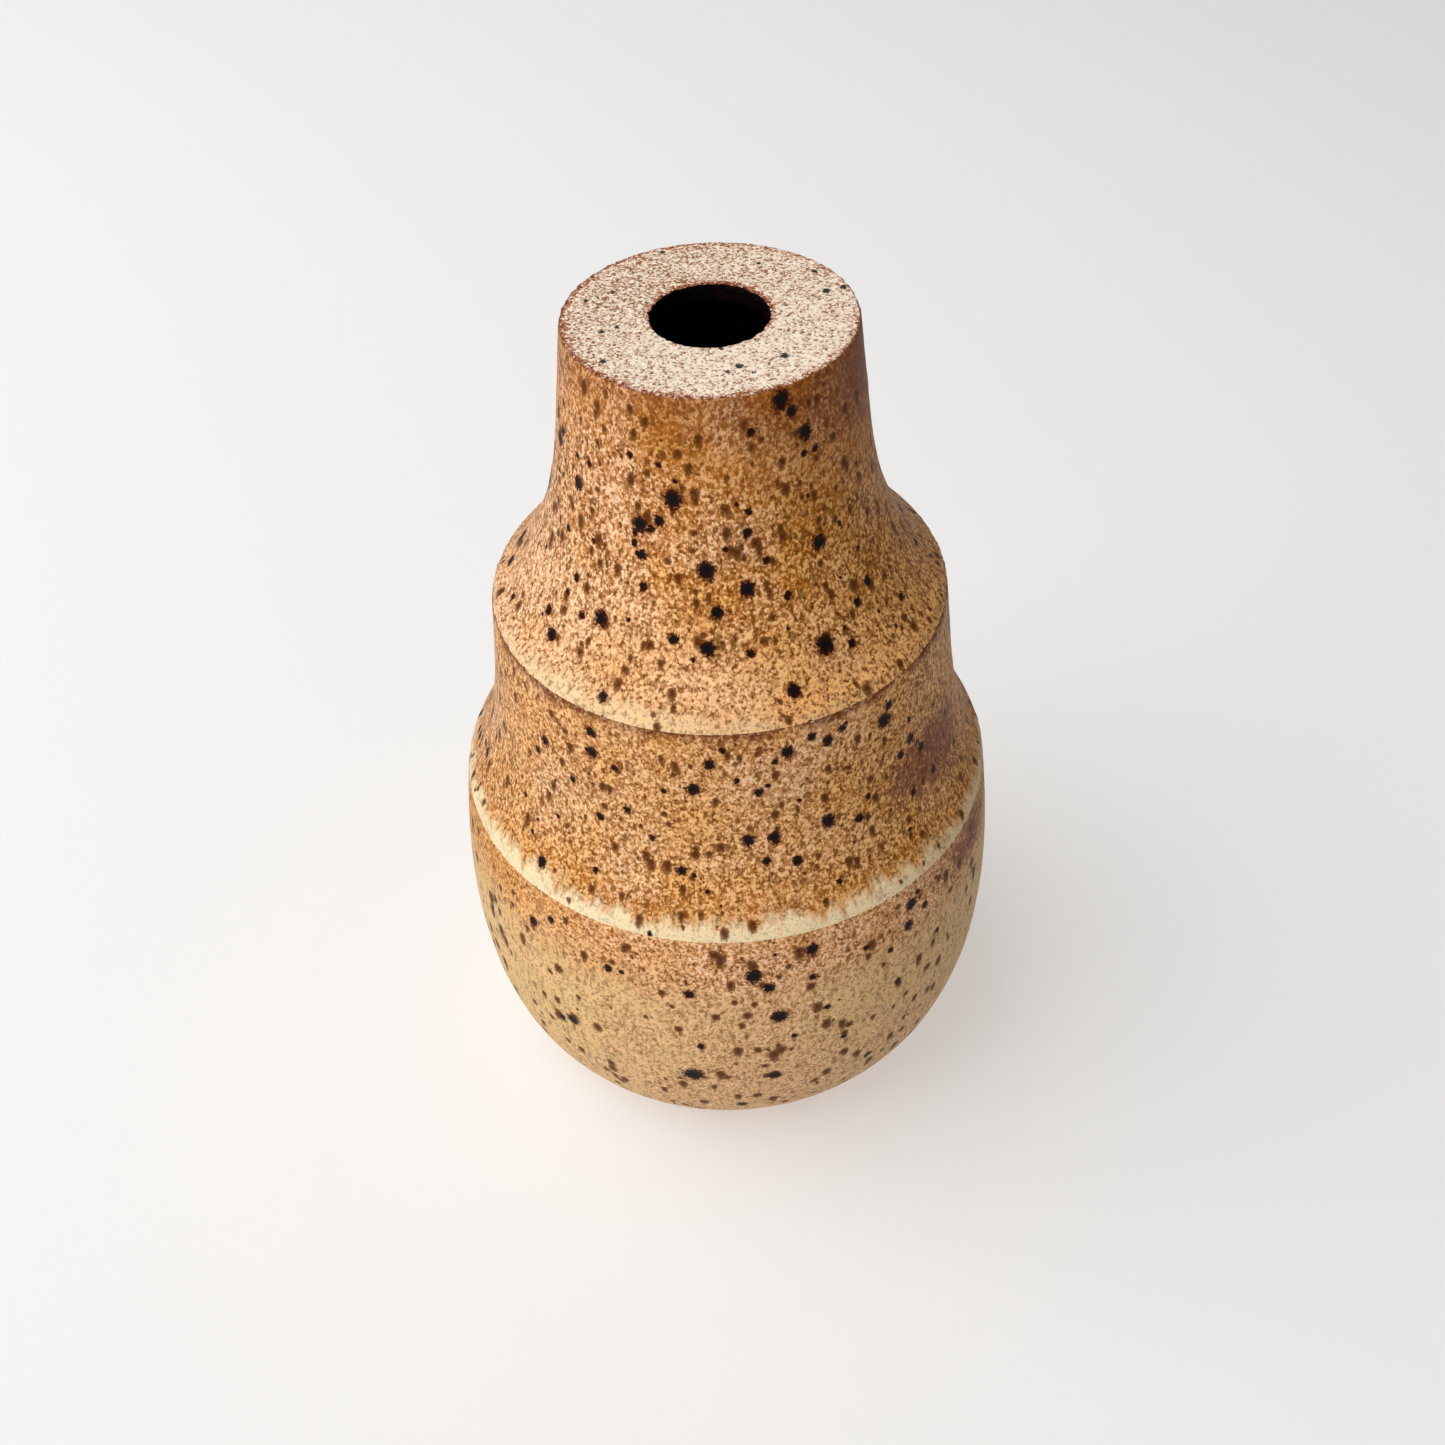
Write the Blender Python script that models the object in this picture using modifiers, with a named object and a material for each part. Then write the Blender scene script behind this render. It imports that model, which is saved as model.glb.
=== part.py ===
"""Ceramic bud vase: a stoneware pot thrown and trimmed in one piece, in three tiers, with a small
mouth in a flat bare top. A satin glaze coats each tier and breaks to bare clay at the rim, on both
sharp ridges and above the foot. A thin liner glaze coats the inside.

Units are metres, +Z is up, and the origin is on the table at the middle of the foot.
"""

import math

import bmesh
import bpy
import numpy as np

# Outline of the glazed vase, from the rim down to the foot
HEIGHT = 0.136
RIM_RADIUS = 0.0197
MOUTH_RADIUS = 0.0078
UPPER_RIDGE_HEIGHT = 0.0926
UPPER_RIDGE_RADIUS = 0.0338
LOWER_RIDGE_HEIGHT = 0.058
LOWER_RIDGE_RADIUS = 0.042
FOOT_RADIUS = 0.0305
FOOT_LIFT = 0.0012
FOOT_BEVEL = 0.0011

# How each tier's wall bends: lean from the vertical in degrees, widening downwards, and pull as a
# share of the tier's drop, at its top and at its bottom
NECK_BEND = ((7.5, 0.46), (44.3, 0.40))
MIDDLE_BEND = ((6.3, 0.45), (31.9, 0.35))
BOWL_BEND = ((8.8, 0.52), (-75.1, 0.25))

# Wall from the glazed outside to the glazed inside, measured level at the top of each tier
NECK_WALL = 0.005
UPPER_RIDGE_WALL = 0.0062
LOWER_RIDGE_WALL = 0.006
TOP_DISC = 0.0025
TOP_SLOPE = 0.006
FLOOR_HEIGHT = 0.007
FLOOR_RADIUS = 0.0225
CAVITY_BEND = ((9.0, 0.5), (-90.0, 0.32))

# Recess turned under the foot, which leaves a ring to stand on
FOOT_RING_WIDTH = 0.0045
RECESS_DEPTH = 0.0015

# Glaze coats and the bare clay between them, measured along the wall
GLAZE = 0.0006
LINER = 0.0005
GAP = 0.0003
RIM_BARE = 0.0008
RIDGE_BARE = 0.0006
FOOT_BARE = 0.002
MOUTH_BARE = 0.0008

STEPS = 40
NECK_POINTS = 9
MIDDLE_POINTS = 7
BOWL_POINTS = 11
CAVITY_POINTS = 5
SMOOTH_ANGLE = math.radians(32)
MERGE = 0.00002

# Colour (linear), roughness
FINISHES = {
    "clay_body": ((0.56, 0.40, 0.29, 1.0), 0.85),
    "neck_glaze": ((0.37, 0.17, 0.055, 1.0), 0.42),
    "middle_glaze": ((0.42, 0.20, 0.08, 1.0), 0.42),
    "bowl_glaze": ((0.46, 0.29, 0.12, 1.0), 0.42),
    "liner_glaze": ((0.045, 0.022, 0.012, 1.0), 0.3),
}


class Wall:
    """A smooth stretch of wall in the (radius, height) plane, read by distance along it."""

    FINE = 400

    def __init__(self, top, bottom, bend):
        (top_lean, top_pull), (bottom_lean, bottom_pull) = bend
        drop = top[1] - bottom[1]
        start, end = np.array(top), np.array(bottom)
        after_start = start + top_pull * drop * self.way(top_lean)
        before_end = end - bottom_pull * drop * self.way(bottom_lean)
        t = np.linspace(0.0, 1.0, self.FINE)[:, None]
        s = 1.0 - t
        near_start = s**3 * start + 3 * s**2 * t * after_start
        self.points = near_start + 3 * s * t**2 * before_end + t**3 * end
        along = np.gradient(self.points, axis=0)
        self.inward = np.column_stack([along[:, 1], -along[:, 0]]) / np.hypot(*along.T)[:, None]
        steps = np.hypot(*np.diff(self.points, axis=0).T)
        self.run = np.concatenate([[0.0], np.cumsum(steps)])
        self.length = self.run[-1]

    @staticmethod
    def way(lean):
        return np.array([math.sin(math.radians(lean)), -math.cos(math.radians(lean))])

    def at(self, distance, depth=0.0):
        """The point at a distance from the top, moved by a depth towards the axis."""
        moved = self.points + depth * self.inward
        return tuple(float(np.interp(distance, self.run, part)) for part in moved.T)

    def stretch(self, skip_top, skip_bottom, count, depth=0.0):
        """Points from the top down, leaving out some of the wall at each end."""
        places = np.linspace(skip_top, self.length - skip_bottom, count)
        return [self.at(place, depth) for place in places]


def outer_walls():
    rim = (RIM_RADIUS, HEIGHT)
    upper = (UPPER_RIDGE_RADIUS, UPPER_RIDGE_HEIGHT)
    lower = (LOWER_RIDGE_RADIUS, LOWER_RIDGE_HEIGHT)
    foot = (FOOT_RADIUS, FOOT_LIFT)
    return Wall(rim, upper, NECK_BEND), Wall(upper, lower, MIDDLE_BEND), Wall(lower, foot, BOWL_BEND)


def cavity(top):
    """The glazed inside, from a height in the mouth down to the middle of the floor."""
    shoulder = (RIM_RADIUS - NECK_WALL, HEIGHT - TOP_DISC - TOP_SLOPE)
    upper = (UPPER_RIDGE_RADIUS - UPPER_RIDGE_WALL, UPPER_RIDGE_HEIGHT)
    lower = (LOWER_RIDGE_RADIUS - LOWER_RIDGE_WALL, LOWER_RIDGE_HEIGHT)
    floor = (FLOOR_RADIUS, FLOOR_HEIGHT)
    points = [(MOUTH_RADIUS, top), (MOUTH_RADIUS, HEIGHT - TOP_DISC)]
    points += Wall(shoulder, upper, NECK_BEND).stretch(0.0, 0.0, CAVITY_POINTS + 2)
    points += Wall(upper, lower, MIDDLE_BEND).stretch(0.0, 0.0, CAVITY_POINTS)[1:]
    points += Wall(lower, floor, CAVITY_BEND).stretch(0.0, 0.0, CAVITY_POINTS + 5)[1:]
    return points + [(0.0, FLOOR_HEIGHT)]


def into_clay(points, depth):
    """The line of points moved sideways into the clay, with mitred corners."""
    along = np.diff(points, axis=0)
    sides = np.column_stack([-along[:, 1], along[:, 0]]) / np.hypot(*along.T)[:, None]
    before = np.vstack([sides[:1], sides])
    after = np.vstack([sides, sides[-1:]])
    corner = before + after
    reach = 2.0 * depth / (corner * corner).sum(axis=1)[:, None]
    return [tuple(point) for point in (np.array(points) + reach * corner).tolist()]


def clay_profile():
    """From the floor's middle up the inside, over the top disc, and down the outside."""
    neck, middle, bowl = outer_walls()
    seat = GLAZE + GAP
    lip = HEIGHT - MOUTH_BARE
    inside = [(MOUTH_RADIUS, HEIGHT), (MOUTH_RADIUS, lip)] + into_clay(cavity(lip), LINER + GAP)
    outside = [neck.at(0.0), neck.at(RIM_BARE)]
    outside += neck.stretch(RIM_BARE, RIDGE_BARE, NECK_POINTS, seat)
    outside += [neck.at(neck.length - RIDGE_BARE), middle.at(0.0), middle.at(RIDGE_BARE)]
    outside += middle.stretch(RIDGE_BARE, RIDGE_BARE, MIDDLE_POINTS, seat)
    outside += [middle.at(middle.length - RIDGE_BARE), bowl.at(0.0), bowl.at(RIDGE_BARE)]
    outside += bowl.stretch(RIDGE_BARE, FOOT_BARE, BOWL_POINTS, seat)
    outside += [bowl.at(bowl.length - FOOT_BARE), bowl.at(bowl.length)]
    ring = FOOT_RADIUS - FOOT_BEVEL
    recess = ring - FOOT_RING_WIDTH
    under = [(ring, 0.0), (recess, 0.0), (recess - RECESS_DEPTH, RECESS_DEPTH), (0.0, RECESS_DEPTH)]
    return inside[::-1] + outside + under


def band_profile(wall, bare_top, bare_bottom, count):
    """A closed section of one glaze band: down its outside and back up against the clay."""
    ends = (bare_top + GAP, bare_bottom + GAP)
    return wall.stretch(*ends, count) + wall.stretch(*ends, count, GLAZE)[::-1]


def liner_profile():
    """From the floor's middle up the visible side to the mouth, and back down against the clay."""
    inner = cavity(HEIGHT - MOUTH_BARE - GAP)
    return inner[::-1] + into_clay(inner, LINER)


def finish(name):
    colour, roughness = FINISHES[name]
    material = bpy.data.materials.new(name)
    material.use_nodes = True
    shader = material.node_tree.nodes["Principled BSDF"]
    shader.inputs["Base Color"].default_value = colour
    shader.inputs["Roughness"].default_value = roughness
    shader.inputs["Metallic"].default_value = 0.0
    material.diffuse_color = colour
    return material


def turned(name, profile, ring, collection):
    """A solid turned about Z from (radius, height) points. A ring's profile joins its own start."""
    shape = bmesh.new()
    points = [shape.verts.new((radius, 0.0, height)) for radius, height in profile]
    following = points[1:] + (points[:1] if ring else [])
    for start, end in zip(points, following):
        shape.edges.new((start, end))
    mesh = bpy.data.meshes.new(name)
    shape.to_mesh(mesh)
    shape.free()
    body = bpy.data.objects.new(name, mesh)
    body.data.materials.append(finish(name))
    collection.objects.link(body)
    screw = body.modifiers.new("turn", "SCREW")
    screw.steps = STEPS
    screw.render_steps = STEPS
    screw.use_merge_vertices = True
    screw.merge_threshold = MERGE
    screw.use_smooth_shade = True
    return body


def keep_turned_mesh(body):
    """Keeps the turned mesh, shaded smooth except at the ridges, the rim and the steps."""
    graph = bpy.context.evaluated_depsgraph_get()
    mesh = bpy.data.meshes.new_from_object(body.evaluated_get(graph))
    mesh.name = body.name
    body.modifiers.clear()
    body.data = mesh
    mesh.shade_smooth()
    mesh.set_sharp_from_angle(angle=SMOOTH_ANGLE)


def clear_scene():
    for thing in list(bpy.data.objects):
        bpy.data.objects.remove(thing, do_unlink=True)


def main():
    clear_scene()
    vase = bpy.data.collections.new("bud_vase")
    bpy.context.scene.collection.children.link(vase)
    neck, middle, bowl = outer_walls()
    neck_band = band_profile(neck, RIM_BARE, RIDGE_BARE, NECK_POINTS)
    middle_band = band_profile(middle, RIDGE_BARE, RIDGE_BARE, MIDDLE_POINTS)
    bowl_band = band_profile(bowl, RIDGE_BARE, FOOT_BARE, BOWL_POINTS)
    bodies = [
        turned("clay_body", clay_profile(), False, vase),
        turned("neck_glaze", neck_band, True, vase),
        turned("middle_glaze", middle_band, True, vase),
        turned("bowl_glaze", bowl_band, True, vase),
        turned("liner_glaze", liner_profile(), False, vase),
    ]
    for body in bodies:
        keep_turned_mesh(body)


main()
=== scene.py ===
"""Ceramic bud vase: the finished look of the thrown stoneware pot and its glaze coats."""

import math
import random

import bpy
import numpy as np
from bpy.props import FloatProperty, FloatVectorProperty, PointerProperty
from mathutils import Matrix, Vector, noise


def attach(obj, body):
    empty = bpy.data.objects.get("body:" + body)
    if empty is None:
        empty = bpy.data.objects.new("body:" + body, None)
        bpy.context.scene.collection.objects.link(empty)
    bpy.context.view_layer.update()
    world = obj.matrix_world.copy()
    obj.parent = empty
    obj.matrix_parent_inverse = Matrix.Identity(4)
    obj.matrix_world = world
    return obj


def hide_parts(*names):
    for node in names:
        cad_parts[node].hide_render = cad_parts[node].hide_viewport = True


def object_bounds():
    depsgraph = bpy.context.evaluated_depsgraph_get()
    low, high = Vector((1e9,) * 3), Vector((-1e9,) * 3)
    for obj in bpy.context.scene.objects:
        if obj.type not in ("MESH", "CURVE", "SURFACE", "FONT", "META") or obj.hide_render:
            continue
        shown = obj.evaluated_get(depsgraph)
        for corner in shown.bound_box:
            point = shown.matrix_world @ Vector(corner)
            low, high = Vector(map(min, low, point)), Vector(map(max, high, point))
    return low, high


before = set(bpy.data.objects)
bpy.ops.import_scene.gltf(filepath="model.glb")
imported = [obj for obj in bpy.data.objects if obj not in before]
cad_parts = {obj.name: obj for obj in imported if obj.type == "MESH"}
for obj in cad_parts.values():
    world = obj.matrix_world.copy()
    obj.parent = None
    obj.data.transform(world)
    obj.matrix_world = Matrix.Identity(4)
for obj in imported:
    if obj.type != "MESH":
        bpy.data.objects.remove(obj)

CAD_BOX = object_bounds()

bl_info = {
    "name": "Ceramic bud vase",
    "version": (1, 0, 0),
    "blender": (4, 5, 0),
    "location": "View3D > Sidebar > Bud vase",
    "description": "Turns a stoneware bud vase with a bare clay body and iron-speckled satin glaze",
    "category": "Add Mesh",
}

MM = 0.001
BODY = "root"
BAKE_MAP = "OFBake"
SHARP_ANGLE = math.radians(60)

# How each tier's wall bends: lean from the vertical in degrees, widening downwards, and pull as a
# share of the tier's drop, at its top and at its bottom
NECK_BEND = ((7.5, 0.46), (44.3, 0.40))
MIDDLE_BEND = ((6.3, 0.45), (31.9, 0.35))
BOWL_BEND = ((8.8, 0.52), (-75.1, 0.25))

# The glazed inside: the wall below the rim and at each ridge, the lip over it, and the flat floor
NECK_WALL = 5.0 * MM
UPPER_RIDGE_WALL = 6.2 * MM
LOWER_RIDGE_WALL = 6.0 * MM
TOP_DISC = 2.5 * MM
TOP_SLOPE = 6.0 * MM
FLOOR_HEIGHT = 7.0 * MM
FLOOR_RADIUS = 22.5 * MM
CAVITY_BEND = ((9.0, 0.5), (-90.0, 0.32))
LINER = 0.5 * MM
MOUTH_BARE = 0.8 * MM

# Recess turned under the foot, which leaves a ring to stand on
FOOT_BEVEL = 1.1 * MM
FOOT_RING_WIDTH = 4.5 * MM
RECESS_DEPTH = 1.5 * MM

# Where no spot shows: a distance from its centre, in the spot's own radii
CLEAR = 9.0


def linear(code):
    """A colour's linear values from its sRGB hex code."""
    shares = [int(code[place : place + 2], 16) / 255 for place in (0, 2, 4)]
    return tuple(v / 12.92 if v <= 0.04045 else ((v + 0.055) / 1.055) ** 2.4 for v in shares)


def length_of(name, description, default):
    return FloatProperty(
        name=name, description=description, default=default, unit="LENGTH", precision=5
    )


def colour_of(name, description, code):
    return FloatVectorProperty(
        name=name, description=description, default=linear(code), subtype="COLOR", min=0.0, max=1.0
    )


class VaseSizes(bpy.types.PropertyGroup):
    """Sizes of the turned pot and its glaze."""

    height: length_of("Height", "From the table to the flat top", CAD_BOX[1][2])
    rim_radius: length_of("Rim radius", "Outside of the flat top", 0.0197)
    mouth_radius: length_of("Mouth radius", "Inside of the round mouth", 0.0078)
    upper_height: length_of("Upper ridge height", "Where the neck meets the middle tier", 0.0926)
    upper_radius: length_of("Upper ridge radius", "Outside of the upper ridge", 0.0338)
    lower_height: length_of("Lower ridge height", "Where the middle tier meets the bowl", 0.058)
    lower_radius: length_of("Lower ridge radius", "Outside of the lower ridge", 0.042)
    foot_radius: length_of("Foot radius", "Outside of the foot above its bevel", 0.0305)
    foot_lift: length_of("Foot lift", "Height of the bevel at the foot", 0.0012)
    glaze: length_of("Glaze thickness", "Outer coat, down to its seat in the clay", 0.0005)
    roll: length_of("Glaze roll", "How far the glaze swells above each ridge", 0.0002)


class VaseColours(bpy.types.PropertyGroup):
    """Colours of the clay, the glaze and the stage."""

    clay: colour_of("Clay", "Bare stoneware ground", "EED4BC")
    sand: colour_of("Sand", "Pale sand grains in the clay", "FFF4E6")
    grog: colour_of("Grog", "Grey-brown grog in the clay", "84674E")
    toast: colour_of("Toast", "Clay toasted orange-brown at its edges", "A85E36")
    umber: colour_of("Umber", "Brown ground just under the rim", "904E16")
    ochre: colour_of("Ochre", "Golden ground of the neck and above the lower ridge", "B87020")
    tan: colour_of("Tan", "Ground of the middle tier, and the darker grains", "C68644")
    rose: colour_of("Rose", "Pinkish ground low on the neck and high on the bowl", "D69A66")
    khaki: colour_of("Khaki", "Greenish ground of the bowl", "DEC08C")
    rust: colour_of("Rust", "Red-brown grains and thin glaze", "64290C")
    olive: colour_of("Olive", "Runs and soft spots", "744A08")
    # Blush and honey tint the pale grains towards the flame side and in its lee: on the neck and
    # middle, where the flame side is the lamp-lit left, the pinker side is partly painted light and
    # the golden lee partly painted shade
    blush: colour_of("Blush", "Pale pinkish grains", "F8D0AA")
    bisque: colour_of("Bisque", "Thick glaze above the upper ridge", "ECD0A4")
    honey: colour_of("Honey", "Golden grains in the lee of the flame", "EEB872")
    cream: colour_of("Cream", "Thick glaze above the lower ridge", "F2E4BE")
    flash: colour_of("Flash", "Purple-brown where the flame licked", "7C402C")
    halo: colour_of("Halo", "Near-black brown of an iron spot", "200B07")
    core: colour_of("Core", "Blue-black middle of a large iron spot", "0B1014")
    # A dark glaze made near-black as painted shade, so the mouth reads black; it also paints the bare
    # throat
    liner: colour_of("Liner", "Black-brown glaze inside", "050201")
    paper: colour_of("Paper", "Sheet under the vase", "ECEBEA")


# Large iron spots: degrees round from the front, mm down the tier's wall, mm across
NECK_SPOTS = (
    (25, 1.5, 2.3), (29, 3.5, 1.5), (34, 7, 2.0), (33, 10, 1.0), (38, 10, 1.1), (13, 5, 1.1),
    (-73, 14, 2.2), (-70, 12, 1.2), (-56, 17, 1.8), (-50, 13, 1.0), (-31, 9, 0.9), (-20, 9.5, 0.9),
    (-15, 14, 2.5), (-14, 11.5, 0.7), (-27, 18.5, 2.1), (-20, 17.5, 1.5), (-23, 19, 1.2),
    (-29, 21.5, 1.0), (-26, 23, 1.4), (-25, 27.5, 1.2), (11, 16, 1.0), (10, 19, 1.3),
    (36, 23.5, 2.2), (-4, 24, 2.4), (9, 27, 2.2), (16, 23.5, 1.1), (22, 29, 1.0), (-1, 30, 1.8),
    (-38, 34, 2.2), (-53, 40, 1.8), (-58, 37.5, 1.4), (-45, 35, 1.2), (-51, 30.5, 1.1),
    (-60, 25, 1.0), (-14, 34, 1.5), (-4, 35, 2.1), (8, 36, 1.2), (30, 37.5, 2.8), (38, 39, 1.3),
    (45, 34.5, 1.3), (52, 33, 1.5), (62, 39, 1.2), (18, 42, 1.9), (-31, 44, 1.3), (-76, 42, 1.1),
)
MIDDLE_SPOTS = (
    (-33, 3.5, 1.6), (-33, 7, 1.7), (-27, 8.5, 1.2), (-48, 10, 1.6), (-51, 13, 1.2), (-39, 14, 1.1),
    (-78, 28, 1.5), (-4, 5, 1.6), (-1, 2.5, 1.0), (14, 4, 1.8), (11, 5.5, 1.0), (20, 2.5, 1.3),
    (24, 4, 1.6), (28, 3, 1.2), (40, 5.5, 2.2), (42, 3.5, 1.4), (49, 12.5, 1.6), (45, 14, 1.5),
    (49, 9, 1.0), (53, 16, 1.3), (-8, 9.5, 1.9), (-15, 10.5, 0.9), (2, 8, 0.9), (7, 10.5, 1.4),
    (9, 9.5, 0.8), (-24, 15.5, 1.2), (-31, 18.5, 1.3), (-18, 19.5, 1.0), (23, 18.5, 2.1),
    (31, 20.5, 1.5), (34, 17.5, 1.0), (48, 22.5, 1.2), (57, 22.5, 1.2), (4, 19, 1.8), (10, 19, 1.9),
    (15, 24, 1.7), (8, 23, 1.3), (-11, 24.5, 1.5), (-31, 28, 1.0), (-45, 31.5, 1.7), (24, 29.5, 1.0),
)
BOWL_SPOTS = (
    (-40, 4.5, 1.3), (-45, 7.5, 1.7), (-26, 9, 1.3), (-23, 9, 1.0), (-9, 11, 1.6), (-7, 23.5, 1.3),
    (-9, 32, 3.3), (-36, 26.5, 2.2), (-39, 27.5, 1.3), (4, 7, 2.5), (7, 10, 1.9), (9, 17, 2.7),
    (12, 22.5, 1.0), (8, 33, 2.1), (1, 44, 1.7), (16, 3.5, 2.0), (28, 7.5, 1.1), (16, 9.5, 1.2),
    (19, 17.5, 1.2), (23, 27, 1.2), (36, 19.5, 1.3), (34, 11, 1.2), (40, 4, 2.1), (44, 6.5, 1.3),
    (42, 2.5, 1.0), (39, 8, 1.8), (48, 15, 1.2), (30, 37, 1.4),
)
# Iron specks in the bare top: mm to the right, mm to the back, mm across
RIM_SPECKS = (
    (15.5, 5.0, 1.4), (17.8, 5.8, 1.2), (14.2, 10.2, 1.0), (9.3, -10.6, 1.4), (3.5, -12.6, 1.3),
    (2.0, -13.8, 0.8), (5.2, -14.2, 0.7), (1.3, -8.3, 0.9), (-12.8, 6.6, 0.9), (-14.0, -3.3, 0.9),
    (-12.0, -2.3, 0.8), (-13.6, -10.4, 1.0), (-16.3, 4.7, 0.8), (-6.2, 17.2, 0.9), (6.9, 13.0, 0.8),
)


# ---- shape


class Wall:
    """A smooth stretch of wall in the (radius, height) plane, read by distance from its top."""

    def __init__(self, top, bottom, bend):
        (top_lean, top_pull), (bottom_lean, bottom_pull) = bend
        drop = top[1] - bottom[1]
        start, end = np.array(top), np.array(bottom)
        after_start = start + top_pull * drop * self.way(top_lean)
        before_end = end - bottom_pull * drop * self.way(bottom_lean)
        t = np.linspace(0.0, 1.0, 800)[:, None]
        s = 1.0 - t
        near_start = s**3 * start + 3 * s**2 * t * after_start
        self.points = near_start + 3 * s * t**2 * before_end + t**3 * end
        along = np.gradient(self.points, axis=0)
        self.outward = np.column_stack([-along[:, 1], along[:, 0]]) / np.hypot(*along.T)[:, None]
        steps = np.hypot(*np.diff(self.points, axis=0).T)
        self.run = np.concatenate([[0.0], np.cumsum(steps)])
        self.length = self.run[-1]

    @staticmethod
    def way(lean):
        return np.array([math.sin(math.radians(lean)), -math.cos(math.radians(lean))])

    def read(self, places):
        """Points and outward directions at distances from the top."""
        points = np.column_stack([np.interp(places, self.run, part) for part in self.points.T])
        outward = np.column_stack([np.interp(places, self.run, part) for part in self.outward.T])
        return points, outward


def outer_walls(sizes):
    """Neck, middle and bowl, each from its top to its bottom edge."""
    rim = (sizes.rim_radius, sizes.height)
    upper = (sizes.upper_radius, sizes.upper_height)
    lower = (sizes.lower_radius, sizes.lower_height)
    foot = (sizes.foot_radius, sizes.foot_lift)
    return Wall(rim, upper, NECK_BEND), Wall(upper, lower, MIDDLE_BEND), Wall(lower, foot, BOWL_BEND)


def cavity_line(sizes, top):
    """The glazed inside as (radius, height) points, from the mouth down to the floor's middle."""
    under_lip = sizes.height - TOP_DISC
    shoulder = (sizes.rim_radius - NECK_WALL, under_lip - TOP_SLOPE)
    upper = (sizes.upper_radius - UPPER_RIDGE_WALL, sizes.upper_height)
    lower = (sizes.lower_radius - LOWER_RIDGE_WALL, sizes.lower_height)
    floor = (FLOOR_RADIUS, FLOOR_HEIGHT)
    bore = [(sizes.mouth_radius, z) for z in np.linspace(top, under_lip, 6)]
    slope = np.linspace((sizes.mouth_radius, under_lip), shoulder, 8)[1:-1].tolist()
    lines = []
    for start, end, bend, count in (
        (shoulder, upper, NECK_BEND, 16),
        (upper, lower, MIDDLE_BEND, 12),
        (lower, floor, CAVITY_BEND, 22),
    ):
        wall = Wall(start, end, bend)
        lines += wall.read(np.linspace(0.0, wall.length, count))[0].tolist()[:-1]
    flat = [(radius, FLOOR_HEIGHT) for radius in np.linspace(FLOOR_RADIUS, 1.0 * MM, 12)]
    return np.array(bore + slope + lines + flat)


def moved_sideways(line, depth):
    """The line moved by a depth to the side that faces away from the hollow."""
    along = np.gradient(line, axis=0)
    side = np.column_stack([-along[:, 1], along[:, 0]]) / np.hypot(*along.T)[:, None]
    return line + depth * side


def bumps(points, size, seed):
    """Smooth noise from -1 to 1 at each point, with features of about one size."""
    shift = Vector((seed * 7.31, seed * 3.17, seed * 5.73))
    return np.array([noise.noise(Vector(point) / size + shift) for point in points.tolist()])


def handmade(points):
    """The small leans and lobes of a hand-thrown pot, the same for the clay and every coat."""
    x, y, z = points.T
    around = np.arctan2(y, x)
    share = z / CAD_BOX[1][2]
    oval, three_lobed, inset, lean_most = 0.10 * MM, 0.06 * MM, 0.20 * MM, 0.30 * MM
    lobes = oval * np.sin(2 * around + 0.6) + three_lobed * np.sin(3 * around + 2.0 + 4.0 * share)
    radius = np.hypot(x, y)
    grown = radius + (lobes - inset) * np.clip(radius / (8.0 * MM) - 1.0, 0.0, 1.0)
    lean = lean_most * np.exp(-(((share - 0.56) / 0.12) ** 2))
    turned = np.divide(grown, radius, out=np.ones_like(radius), where=radius > 0)
    return np.column_stack([x * turned + lean, y * turned, z])


def turned_points(profile, columns):
    """Points of a turned surface, row by row, from (radius, height) pairs."""
    around = np.linspace(0.0, 2 * math.pi, columns, endpoint=False)
    radius = profile[:, :1]
    height = np.repeat(profile[:, 1:], columns, axis=1)
    return np.stack([radius * np.cos(around), radius * np.sin(around), height], axis=2)


def skin(name, points, weights, ring, poles=()):
    """A closed mesh from rows of points. A ring's last row joins its first; poles close the ends."""
    rows, columns = points.shape[:2]
    corner = np.arange(rows * columns).reshape(rows, columns)
    after = np.roll(corner, -1, axis=1)
    steps = rows if ring else rows - 1
    below = np.roll(corner, -1, axis=0)[:steps]
    below_after = np.roll(after, -1, axis=0)[:steps]
    quads = np.stack([corner[:steps], below, below_after, after[:steps]], axis=2).reshape(-1, 4)
    vertices = points.reshape(-1, 3)
    faces = quads.tolist()
    if poles:
        first, last = len(vertices), len(vertices) + 1
        vertices = np.vstack([vertices, poles])
        faces += [[first, a, b] for a, b in zip(corner[0], after[0])]
        faces += [[a, last, b] for a, b in zip(corner[-1], after[-1])]
    mesh = bpy.data.meshes.new(name)
    mesh.from_pydata(vertices.tolist(), [], faces)
    bake_map(mesh, columns, steps, weights)
    mesh.shade_smooth()
    mesh.set_sharp_from_angle(angle=SHARP_ANGLE)
    piece = bpy.data.objects.new(name, mesh)
    bpy.context.scene.collection.objects.link(piece)
    return piece


def bake_map(mesh, columns, steps, weights):
    """A map laid out as the wall unrolled, with more room for rows of greater weight."""
    layer = mesh.uv_layers.new(name=BAKE_MAP)
    down = np.concatenate([[0.0], np.cumsum(weights)])
    down = 1.0 - down / down[-1]
    left = np.arange(columns) / columns
    right = left + 1.0 / columns
    places = np.empty((steps, columns, 4, 2))
    places[..., 0, 0] = places[..., 1, 0] = left
    places[..., 2, 0] = places[..., 3, 0] = right
    places[..., 0, 1] = places[..., 3, 1] = down[:steps, None]
    places[..., 1, 1] = places[..., 2, 1] = down[1 : steps + 1, None]
    flat = places.reshape(-1)
    spare = len(layer.data) * 2 - len(flat)
    layer.data.foreach_set("uv", np.concatenate([flat, np.zeros(spare)]))


def keep_values(piece, name, *parts):
    """Stores three numbers for each point, for the material to read."""
    layer = piece.data.attributes.new(name, "FLOAT_VECTOR", "POINT")
    full = np.zeros((len(piece.data.vertices), 3))
    full[: len(parts[0])] = np.column_stack(parts)
    layer.data.foreach_set("vector", full.reshape(-1))


# ---- iron spots


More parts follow.
